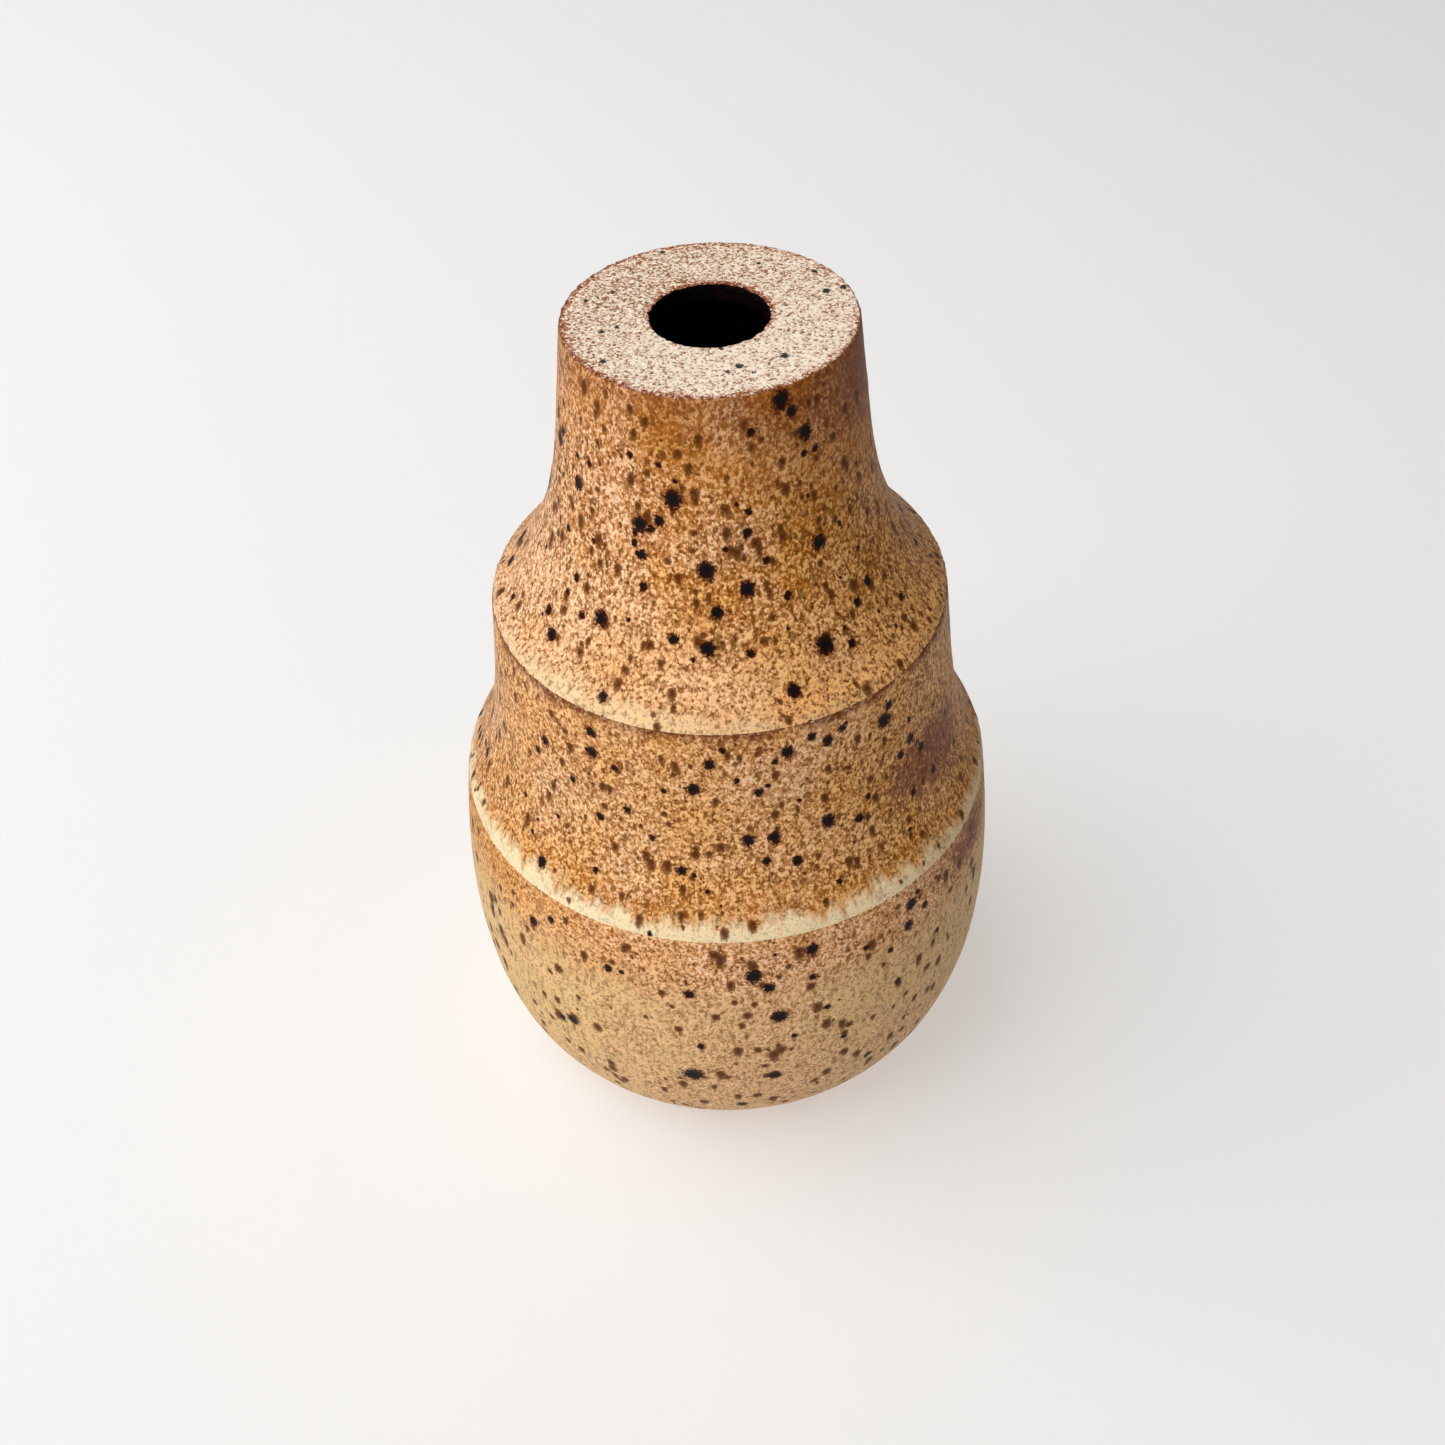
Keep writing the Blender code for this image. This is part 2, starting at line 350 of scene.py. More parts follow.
def scattered(rng, count, length, widths, span=(-180, 180)):
    """Spots between two angles round the tier: degrees, mm down the wall, mm across."""
    down = (2.0, length - 0.5)
    return [tuple(rng.uniform(*limits) for limits in (span, down, widths)) for _ in range(count)]


def spot_distances(around, down, radius, spots, rng, droop, core_from):
    """How far each point is from its nearest spot, and from its nearest core, in the spot's radii.

    Spots run downwards, by up to the droop. Those wider than core_from, in mm, have a core.
    """
    halo = np.full(len(around), CLEAR)
    core = halo.copy()
    for degrees, place, width in spots:
        run = 1.0 + droop * rng.random()
        cored = width > core_from
        across = np.angle(np.exp(1j * (around - math.radians(degrees)))) * radius
        drop = down - place
        outer = np.hypot(across, np.where(drop > 0, drop / run, drop)) / (width / 2)
        halo = np.minimum(halo, outer)
        if cored:
            core = np.minimum(core, np.hypot(across, drop - 0.04 * width) / (width / 2))
    return halo, core


# ---- materials


def add(tree, kind, inputs=None, stops=None, **settings):
    """Adds a node with its settings, links and values, and returns its first live output."""
    made = tree.nodes.new("ShaderNode" + kind)
    for key, value in settings.items():
        setattr(made, key, value)
    for key, value in (inputs or {}).items():
        socket = made.inputs[key]
        if isinstance(value, bpy.types.NodeSocket):
            tree.links.new(value, socket)
        else:
            socket.default_value = (*value, 1.0) if socket.type == "RGBA" else value
    if stops:
        elements = made.color_ramp.elements
        elements.remove(elements[-1])
        for number, (place, value) in enumerate(stops):
            element = elements[0] if number == 0 else elements.new(place)
            element.position = place
            element.color = (value, value, value, 1.0) if isinstance(value, float) else (*value, 1.0)
    return next((out for out in made.outputs if out.enabled), None)


def new_material(name):
    material = bpy.data.materials.new(name)
    material.use_nodes = True
    material.node_tree.nodes.clear()
    return material


def finish_material(tree, surface, relief):
    """Ends a material's tree: its shader, its relief as a bump, and its output."""
    normal = add(tree, "Bump", relief)
    shader = add(tree, "BsdfPrincipled", {**surface, "Normal": normal})
    add(tree, "OutputMaterial", {0: shader})


def stored(tree, name):
    """The three numbers stored for each point under a name, as one value and as three."""
    together = add(tree, "Attribute", attribute_name=name).node.outputs["Vector"]
    return together, add(tree, "SeparateXYZ", {0: together}).node.outputs


def millimetres(tree, stretch=1.0):
    """Places in the piece in mm, squeezed upright so that what is drawn there is longer."""
    place = add(tree, "TexCoord").node.outputs["Object"]
    scale = (1 / MM, 1 / MM, 1 / MM / stretch)
    return add(tree, "VectorMath", {0: place, 1: scale}, operation="MULTIPLY")


def ground_layer(tree, level, length, zones):
    """The ground colour down the wall."""
    share = add(tree, "Math", {0: level, 1: length}, operation="DIVIDE")
    return add(tree, "ValToRGB", {0: share}, [(place / length, value) for place, value in zones])


def run_layer(tree, colour, flow, amount, colours):
    """Runs 0.6 mm wide and 3 mm long, where the glaze slid down the wall."""
    drawn = add(tree, "VectorMath", {0: flow, 1: (1.0, 1.0, 0.2)}, operation="MULTIPLY")
    runs = add(tree, "TexNoise", {"Vector": drawn, "Scale": 1.6})
    runs = add(tree, "MapRange", {0: runs, 1: 0.50, 2: 0.64, 4: 0.8})
    runs = add(tree, "Math", {0: runs, 1: amount}, operation="MULTIPLY")
    return add(tree, "Mix", {0: runs, 6: colour, 7: colours.olive}, data_type="RGBA")


def crystals(tree, stretch, scale, width):
    """Grain values about one half: clouds broken up by crystals of a width in mm."""
    place = millimetres(tree, stretch)
    clouds = {"Vector": place, "Scale": scale, "Detail": 4.0, "Roughness": 0.85}
    clouds = add(tree, "TexNoise", clouds)
    cells = add(tree, "TexVoronoi", {"Vector": place, "Scale": 1 / width}).node.outputs["Color"]
    luck = add(tree, "SeparateColor", {0: cells})
    luck = add(tree, "Math", {0: luck, 1: 0.5}, operation="SUBTRACT")
    return add(tree, "Math", {0: luck, 1: 0.25, 2: clouds}, operation="MULTIPLY_ADD")


def grain_layer(tree, colour, grains, amount, tint, colours):
    """Pale grains from 0.3 to 0.7 mm across, and thin brown glaze between them."""
    light = add(tree, "MapRange", {0: grains, 1: 0.50, 2: 0.60})
    light = add(tree, "Math", {0: light, 1: amount}, operation="MULTIPLY")
    colour = add(tree, "Mix", {0: light, 6: colour, 7: tint}, data_type="RGBA")
    dark = add(tree, "MapRange", {0: grains, 1: 0.46, 2: 0.36, 4: 0.9})
    dark = add(tree, "Math", {0: dark, 1: amount}, operation="MULTIPLY")
    umber = add(tree, "Mix", {0: 0.45, 6: colours.olive, 7: colours.rust}, data_type="RGBA")
    return add(tree, "Mix", {0: dark, 6: colour, 7: umber}, data_type="RGBA")


def dot_layer(tree, colour, amount, rag, spacing, widest, tint):
    """Dots up to a width in mm, one for each spacing in mm, gathered in patches 5 mm across."""
    soft_edge = 0.05 / spacing
    place = millimetres(tree, 1.4)
    cells = add(tree, "TexVoronoi", {"Vector": place, "Scale": 1 / spacing}).node.outputs
    luck = add(tree, "SeparateColor", {0: cells["Color"]})
    luck = add(tree, "Math", {0: luck, 1: 1.3}, operation="POWER")
    reach = widest / 2 / spacing
    size = add(tree, "MapRange", {0: luck, 3: 0.1 * reach, 4: reach})
    inside = add(tree, "Math", {0: size, 1: cells["Distance"]}, operation="SUBTRACT")
    inside = add(tree, "Math", {0: rag, 1: -0.9 / spacing, 2: inside}, operation="MULTIPLY_ADD")
    dots = add(tree, "MapRange", {0: inside, 1: -soft_edge, 2: soft_edge, 4: 0.85})
    gather = add(tree, "TexNoise", {"Vector": place, "Scale": 0.2})
    gather = add(tree, "MapRange", {0: gather, 1: 0.42, 2: 0.56, 3: 0.25, 4: 1.0})
    dots = add(tree, "Math", {0: dots, 1: gather}, operation="MULTIPLY")
    dots = add(tree, "Math", {0: dots, 1: amount}, operation="MULTIPLY")
    return add(tree, "Mix", {0: dots, 6: colour, 7: tint}, data_type="RGBA")


def pool_layer(tree, colour, flow, level, length, pool, thick, cream):
    """The pale band where thick glaze pools above the ridge, its top cut by drips 2 mm wide."""
    drip_length, rise, soft_edge = 11.0, 3.5, 1.2
    drawn = add(tree, "VectorMath", {0: flow, 1: (1.0, 1.0, 0.25)}, operation="MULTIPLY")
    drips = {"Vector": drawn, "Scale": 0.55, "Detail": 5.0, "Roughness": 0.72}
    drips = add(tree, "TexNoise", drips)
    drips = add(tree, "Math", {0: drips, 1: 0.5}, operation="SUBTRACT")
    top = add(tree, "Math", {0: drips, 1: drip_length, 2: level}, operation="MULTIPLY_ADD")
    top = add(tree, "Math", {0: pool, 1: rise, 2: top}, operation="MULTIPLY_ADD")
    start = length - thick + rise
    limits = {1: start - soft_edge, 2: start + soft_edge, 4: 0.9}
    band = add(tree, "MapRange", {0: top, **limits})
    band = add(tree, "Math", {0: band, 1: pool}, operation="MULTIPLY", use_clamp=True)
    return add(tree, "Mix", {0: band, 6: colour, 7: cream}, data_type="RGBA"), band


def soft_spot_layer(tree, colour, distance, rag, colours):
    """Olive spots with brown middles, where iron only stained the glaze."""
    edge = add(tree, "Math", {0: rag, 1: 1.5, 2: distance}, operation="MULTIPLY_ADD")
    stain = add(tree, "MapRange", {0: edge, 1: 1.2, 2: 0.85, 4: 0.85})
    tint = add(tree, "Mix", {0: 0.4, 6: colours.olive, 7: colours.rust}, data_type="RGBA")
    colour = add(tree, "Mix", {0: stain, 6: colour, 7: tint}, data_type="RGBA")
    middle = add(tree, "MapRange", {0: edge, 1: 0.9, 2: 0.35, 4: 0.8})
    brown = add(tree, "Mix", {0: 0.5, 6: colours.rust, 7: colours.halo}, data_type="RGBA")
    return add(tree, "Mix", {0: middle, 6: colour, 7: brown}, data_type="RGBA")


def iron_spot_layer(tree, colour, halo, core, rag, colours):
    """Iron spots: a gritty brown fringe, a dark halo and a blue-black core."""
    edge = add(tree, "Math", {0: rag, 1: 2.0, 2: halo}, operation="MULTIPLY_ADD")
    fringe = add(tree, "MapRange", {0: edge, 1: 1.35, 2: 0.95, 4: 0.85})
    colour = add(tree, "Mix", {0: fringe, 6: colour, 7: colours.rust}, data_type="RGBA")
    dark = add(tree, "MapRange", {0: edge, 1: 1.05, 2: 0.85, 4: 0.98})
    colour = add(tree, "Mix", {0: dark, 6: colour, 7: colours.halo}, data_type="RGBA")
    middle = add(tree, "MapRange", {0: core, 1: 0.62, 2: 0.40})
    return add(tree, "Mix", {0: middle, 6: colour, 7: colours.core}, data_type="RGBA"), dark


def satin_glaze(name, length, look, colours):
    """Iron-speckled satin glaze, poured and fired: a granular golden ground with pale pinkish grains,
    runs down the wall, cream where it pools, red-brown where it thins, and dark iron spots.

    The look gives how far the zones wander and drift up towards the flame side, in mm; how much the
    patches follow that side, and their strength and tint; the grains in its lee; and the pool's
    depth in mm and its colour. On the neck and middle the flame side faces the key lamp, so its
    paler, pinker tone is partly painted light and its darker lee partly painted shade. The rest are
    stops of mm down the wall and a value: the ground, its runs and grains, how many grains are
    pale, and the pins, which are dark pinholes.
    """
    material = new_material(name)
    tree = material.node_tree
    flow, unrolled = stored(tree, "flow")
    down = unrolled["Z"]
    _, spots = stored(tree, "spots")
    _, pale_side_flash_pool = stored(tree, "pale_side_flash_pool")

    # Zones wander by some mm, over 7 mm and over 1.5 mm
    wide = add(tree, "TexNoise", {"Vector": flow, "Scale": 0.14, "Detail": 1.0})
    fine = add(tree, "TexNoise", {"Vector": flow, "Scale": 0.7})
    wide = add(tree, "Math", {0: wide, 1: 0.5}, operation="SUBTRACT")
    fine = add(tree, "Math", {0: fine, 1: 0.5}, operation="SUBTRACT")
    level = add(tree, "Math", {0: wide, 1: look["wander"], 2: down}, operation="MULTIPLY_ADD")
    level = add(tree, "Math", {0: fine, 1: 2.5, 2: level}, operation="MULTIPLY_ADD")
    # The zones shift up the wall towards the flame side and down in its lee; on the neck this is
    # painted light on the lamp-lit left, and painted shade where the brown under the rim reaches
    # lower on the right
    level = add(tree, "Math", {0: pale_side_flash_pool["X"], 1: look["drift"], 2: level}, operation="MULTIPLY_ADD")
    colour = ground_layer(tree, level, length, look["ground"])

    # Patches 12 mm across, paler and pinker towards the flame side; on the neck and middle that side
    # faces the key lamp, so this is partly painted light
    patch = add(tree, "TexNoise", {"Vector": flow, "Scale": 0.08})
    patch = add(tree, "Math", {0: pale_side_flash_pool["X"], 1: look["flame"], 2: patch}, operation="MULTIPLY_ADD")
    patch = add(tree, "MapRange", {0: patch, 1: 0.38, 2: 0.78})
    amount = ground_layer(tree, level, length, look["grains"])
    strength, tint = look["patch"]
    stained = add(tree, "Math", {0: patch, 1: strength}, operation="MULTIPLY")
    stained = add(tree, "Math", {0: stained, 1: amount}, operation="MULTIPLY")
    colour = add(tree, "Mix", {0: stained, 6: colour, 7: tint}, data_type="RGBA")

    runs = ground_layer(tree, level, length, look["runs"])
    colour = run_layer(tree, colour, flow, runs, colours)
    colour, band = pool_layer(tree, colour, flow, down, length, pale_side_flash_pool["Z"], *look["pool"])

    # Flame marks: purple-brown patches with gritty edges, where fewer pale grains grew
    lick = add(tree, "Math", {0: fine, 1: 1.8, 2: pale_side_flash_pool["Y"]}, operation="MULTIPLY_ADD")
    lick = add(tree, "MapRange", {0: lick, 1: 0.25, 2: 0.9, 4: 0.9})
    colour = add(tree, "Mix", {0: lick, 6: colour, 7: colours.flash}, data_type="RGBA")

    # Pale grains: fewer in the lee, in the thick pool and in the flame marks
    grains = crystals(tree, 1.25, 1.5, 0.35)
    share = add(tree, "MapRange", {0: patch, 3: look["lee"], 4: 1.0})
    amount = add(tree, "Math", {0: amount, 1: share}, operation="MULTIPLY")
    thin = add(tree, "MapRange", {0: band, 3: 1.0, 4: 0.5})
    amount = add(tree, "Math", {0: amount, 1: thin}, operation="MULTIPLY")
    starved = add(tree, "MapRange", {0: lick, 1: 0.0, 2: 0.9, 3: 1.0, 4: 0.6})
    amount = add(tree, "Math", {0: amount, 1: starved}, operation="MULTIPLY")
    # Grains pinker and more often pale towards the flame side, golden in its lee: partly painted
    # light and painted shade on the neck and middle
    tint = add(tree, "Mix", {0: patch, 6: colours.honey, 7: colours.blush}, data_type="RGBA")
    pale = ground_layer(tree, level, length, look["pale"])
    pale = add(tree, "Math", {0: patch, 1: 0.6, 2: pale}, operation="MULTIPLY_ADD", use_clamp=True)
    tint = add(tree, "Mix", {0: pale, 6: colours.tan, 7: tint}, data_type="RGBA")
    colour = grain_layer(tree, colour, grains, amount, tint, colours)
    lick = add(tree, "Math", {0: lick, 1: 0.5}, operation="MULTIPLY")
    colour = add(tree, "Mix", {0: lick, 6: colour, 7: colours.flash}, data_type="RGBA")

    # Dark pinholes, soft stains and iron spots, all with edges as ragged as the grain
    rag = {"Vector": millimetres(tree), "Scale": 2.4, "Detail": 3.0, "Roughness": 0.75}
    rag = add(tree, "TexNoise", rag)
    rag = add(tree, "Math", {0: rag, 1: 0.5}, operation="SUBTRACT")
    pins = ground_layer(tree, level, length, look["pins"])
    brown = add(tree, "Mix", {0: 0.5, 6: colours.olive, 7: colours.rust}, data_type="RGBA")
    colour = dot_layer(tree, colour, pins, rag, 1.6, 1.2, brown)
    colour = dot_layer(tree, colour, pins, rag, 0.7, 0.5, colours.rust)
    colour = soft_spot_layer(tree, colour, spots["Z"], rag, colours)
    colour, dark = iron_spot_layer(tree, colour, spots["X"], spots["Y"], rag, colours)

    # Satin skin, glassier in the iron, with a fine eggshell
    rough = add(tree, "MapRange", {0: grains, 1: 0.3, 2: 0.7, 3: 0.44, 4: 0.58})
    rough = add(tree, "Mix", {0: dark, 2: rough, 3: 0.44}, data_type="FLOAT")
    height = add(tree, "Math", {0: grains, 1: 0.6, 2: fine}, operation="MULTIPLY_ADD")
    surface = {"Base Color": colour, "Roughness": rough, "Specular IOR Level": 0.06}
    finish_material(tree, surface, {"Height": height, "Distance": 0.14 * MM, "Strength": 0.7})
    return material


def bare_stoneware(colours):
    """Unglazed grogged stoneware, sponged flat and fired: pale and sandy, toasted at its edges."""
    material = new_material("bare stoneware")
    tree = material.node_tree
    place = millimetres(tree)
    _, marks = stored(tree, "marks")

    # Sand 0.3 mm across, with more dark grains towards the back left of the top, and grog up to 0.5
    # mm across
    sand = crystals(tree, 1.0, 1.9, 0.3)
    sand = add(tree, "Math", {0: marks["Z"], 1: -0.035, 2: sand}, operation="MULTIPLY_ADD")
    pale = add(tree, "MapRange", {0: sand, 1: 0.49, 2: 0.57})
    colour = add(tree, "Mix", {0: pale, 6: colours.clay, 7: colours.sand}, data_type="RGBA")
    dark = add(tree, "MapRange", {0: sand, 1: 0.46, 2: 0.37})
    colour = add(tree, "Mix", {0: dark, 6: colour, 7: colours.grog}, data_type="RGBA")
    cells = add(tree, "TexVoronoi", {"Vector": place, "Scale": 1.1}).node.outputs
    luck = add(tree, "SeparateColor", {0: cells["Color"]})
    size = add(tree, "MapRange", {0: luck, 1: 0.25, 2: 1.0, 4: 0.30})
    inside = add(tree, "Math", {0: size, 1: cells["Distance"]}, operation="SUBTRACT")
    grog = add(tree, "MapRange", {0: inside, 1: -0.02, 2: 0.05, 4: 0.8})
    deep = add(tree, "Mix", {0: 0.45, 6: colours.grog, 7: colours.halo}, data_type="RGBA")
    colour = add(tree, "Mix", {0: grog, 6: colour, 7: deep}, data_type="RGBA")

    # Toasted edges, broken up by the sand, and painted shade: the bare throat of the mouth painted
    # near-black
    broken = add(tree, "Math", {0: sand, 1: 0.5}, operation="SUBTRACT")
    broken = add(tree, "Math", {0: broken, 1: -3.0, 2: marks["X"]}, operation="MULTIPLY_ADD")
    warm = add(tree, "MapRange", {0: broken, 1: 0.2, 2: 0.8, 4: 0.9})
    colour = add(tree, "Mix", {0: warm, 6: colour, 7: colours.toast}, data_type="RGBA")
    burnt = add(tree, "MapRange", {0: broken, 1: 0.75, 2: 1.2, 4: 0.85})
    colour = add(tree, "Mix", {0: burnt, 6: colour, 7: colours.rust}, data_type="RGBA")
    # Dark bits at the hottest toasted edges, and the painted shade of the throat, in the near-black
    # inside colour
    charred_and_throat_shade = add(tree, "MapRange", {0: broken, 1: 1.2, 2: 1.7})
    colour = add(tree, "Mix", {0: charred_and_throat_shade, 6: colour, 7: colours.liner}, data_type="RGBA")

    # Iron specks
    rag = add(tree, "TexNoise", {"Vector": place, "Scale": 3.0, "Detail": 1.0})
    rag = add(tree, "Math", {0: rag, 1: 0.5}, operation="SUBTRACT")
    edge = add(tree, "Math", {0: rag, 1: 1.5, 2: marks["Y"]}, operation="MULTIPLY_ADD")
    speck = add(tree, "MapRange", {0: edge, 1: 1.1, 2: 0.7, 4: 0.95})
    colour = add(tree, "Mix", {0: speck, 6: colour, 7: colours.core}, data_type="RGBA")

    surface = {"Base Color": colour, "Roughness": 0.88, "Specular IOR Level": 0.1}
    finish_material(tree, surface, {"Height": sand, "Distance": 0.2 * MM, "Strength": 0.9})
    return material


def brown_liner_glaze(colours):
    """Black-brown liner glaze, swilled round the inside: thin, glossy and uneven, and darkened to
    near-black as painted shade in the mouth.
    """
    material = new_material("brown liner glaze")
    tree = material.node_tree
    cloud = add(tree, "TexNoise", {"Vector": millimetres(tree), "Scale": 0.35, "Detail": 3.0})
    thin = add(tree, "MapRange", {0: cloud, 1: 0.5, 2: 0.75, 4: 0.08})
    # Near-black: partly the dark glaze, partly painted shade of the hollow
    colour = add(tree, "Mix", {0: thin, 6: colours.liner, 7: colours.rust}, data_type="RGBA")
    surface = {"Base Color": colour, "Roughness": 0.55, "Specular IOR Level": 0.1}
    finish_material(tree, surface, {"Height": cloud, "Distance": 0.1 * MM, "Strength": 0.6})
    return material


def matt_paper(colours):
    """Matt white paper, with a trace of tooth 1 mm across."""
    material = new_material("matt white paper")
    tree = material.node_tree
    tooth = add(tree, "TexNoise", {"Vector": millimetres(tree), "Scale": 1.0})
    surface = {"Base Color": colours.paper, "Roughness": 0.9, "IOR": 1.4}
    finish_material(tree, surface, {"Height": tooth, "Distance": 0.02 * MM, "Strength": 0.4})
    return material


# ---- pieces


def finish_piece(piece, node, material):
    """Hands a finished piece to the frame in place of its CAD node."""
    piece.data.materials.append(material)
    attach(piece, BODY)
    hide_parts(node)


def glaze_coat(name, wall, sizes, tier):
    """One glaze coat: its uneven outside down the tier, and its inside against the clay.

    The tier gives the mesh's columns and rows and the seed of the spots; for its top and bottom
    edge, the wall left bare and the tear in mm; the flame's side in degrees from the front and how
    narrow it is, which on the neck and middle is the side of the key lamp, so the paler tone there is
    partly painted light; its chosen iron spots, and how many to scatter over the back, how many
    small ones and how many soft stains, with the stains' widths in mm; its flame marks (degrees,
    mm down, degrees wide, mm tall); and how much the pool gains on its thickest side, and its mean.
    """
    columns, rows, seed = tier["mesh"]
    down = np.linspace(tier["bare"][0], wall.length - tier["bare"][1], rows)
    line, outward = wall.read(down)
    back = np.linspace(down[-1], down[0], max(rows // 8, 12))
    seat, seat_outward = wall.read(back)
    profile = np.vstack([line, seat - sizes.glaze * seat_outward])
    points = turned_points(profile, columns)
    outside = points[:rows].reshape(-1, 3)
    around = np.arctan2(outside[:, 1], outside[:, 0])
    front = around + math.pi / 2
    run = np.repeat(down, columns)
    radius = np.hypot(outside[:, 0], outside[:, 1])
    length = wall.length / MM
    rng = random.Random(seed)
    iron = list(tier["spots"]) + scattered(rng, tier["back"], length, (0.8, 2.7), (85, 275))
    iron += scattered(rng, tier["small"], length, (0.45, 0.9))
    soft = scattered(rng, tier["soft"], length, tier["stains"])
    place = (front, run / MM, radius / MM)
    halo, core = spot_distances(*place, iron, rng, droop=0.45, core_from=1.25)
    stain, _ = spot_distances(*place, soft, rng, droop=2.0, core_from=math.inf)

    # Height of the glaze over the outline: its roll above the ridge, torn edges, eggshell, spots
    facing = np.column_stack([np.cos(around), np.sin(around), np.zeros(len(around))])
    sway = bumps(facing, 0.5, seed)
    below = (wall.length - run) / MM
    roll = sizes.roll * (1.0 + 0.5 * sway) * np.exp(-(((below - 1.7) / 1.1) ** 2))
    tear = np.clip(0.45 + bumps(outside, 1.0 * MM, seed + 4), 0.0, 1.2)
    top_tear, bottom_tear = tier["tear"]
    lip = top_tear * np.exp(-((run / MM / 0.45) ** 2)) + bottom_tear * np.exp(-((below / 0.45) ** 2))
    shell = 0.022 * bumps(outside, 1.7 * MM, seed + 1) + 0.05 * bumps(outside, 9 * MM, seed + 2)
    pits = 0.05 * np.exp(-(((halo - 1.0) / 0.35) ** 2)) - 0.07 * np.exp(-((halo / 0.6) ** 2))
    raised = roll + MM * (shell + pits - lip * tear)
    way = np.repeat(outward, columns, axis=0)
    push = np.column_stack([facing[:, :2] * way[:, :1], way[:, 1]])
    points[:rows] = (outside + push * raised[:, None]).reshape(rows, columns, 3)
    points = handmade(points.reshape(-1, 3)).reshape(points.shape)

    weights = np.concatenate([np.full(rows, 1.0), np.full(len(back), 0.6)])
    piece = skin(name, points, weights, True)

    # What the material reads: the wall unrolled in mm, the spots, and the flame and the pool
    mean = radius.mean() / MM
    keep_values(piece, "flow", mean * np.cos(around), mean * np.sin(around), run / MM)
    keep_values(piece, "spots", halo, core, stain)
    # The flame side: on the neck and middle it faces the key lamp, so the paler tone there is partly
    # painted light and the darker lee partly painted shade
    toward, narrow = tier["flame"]
    flame = 2.0 * (0.5 + 0.5 * np.cos(front - math.radians(toward))) ** narrow - 1.0
    flash = np.zeros(len(around))
    for degrees, place, wide, tall in tier["flashes"]:
        turn = np.degrees(np.angle(np.exp(1j * (front - math.radians(degrees)))))
        flash += np.exp(-((turn / wide) ** 2) - (((run / MM - place) / tall) ** 2))
    gain, base = tier["pooled"]
    thickest = math.radians(-25)
    pooled = np.clip(base + gain * np.cos(front - thickest) + 0.4 * sway, 0.0, 1.0)
    keep_values(piece, "pale_side_flash_pool", flame, flash, pooled)
    return piece


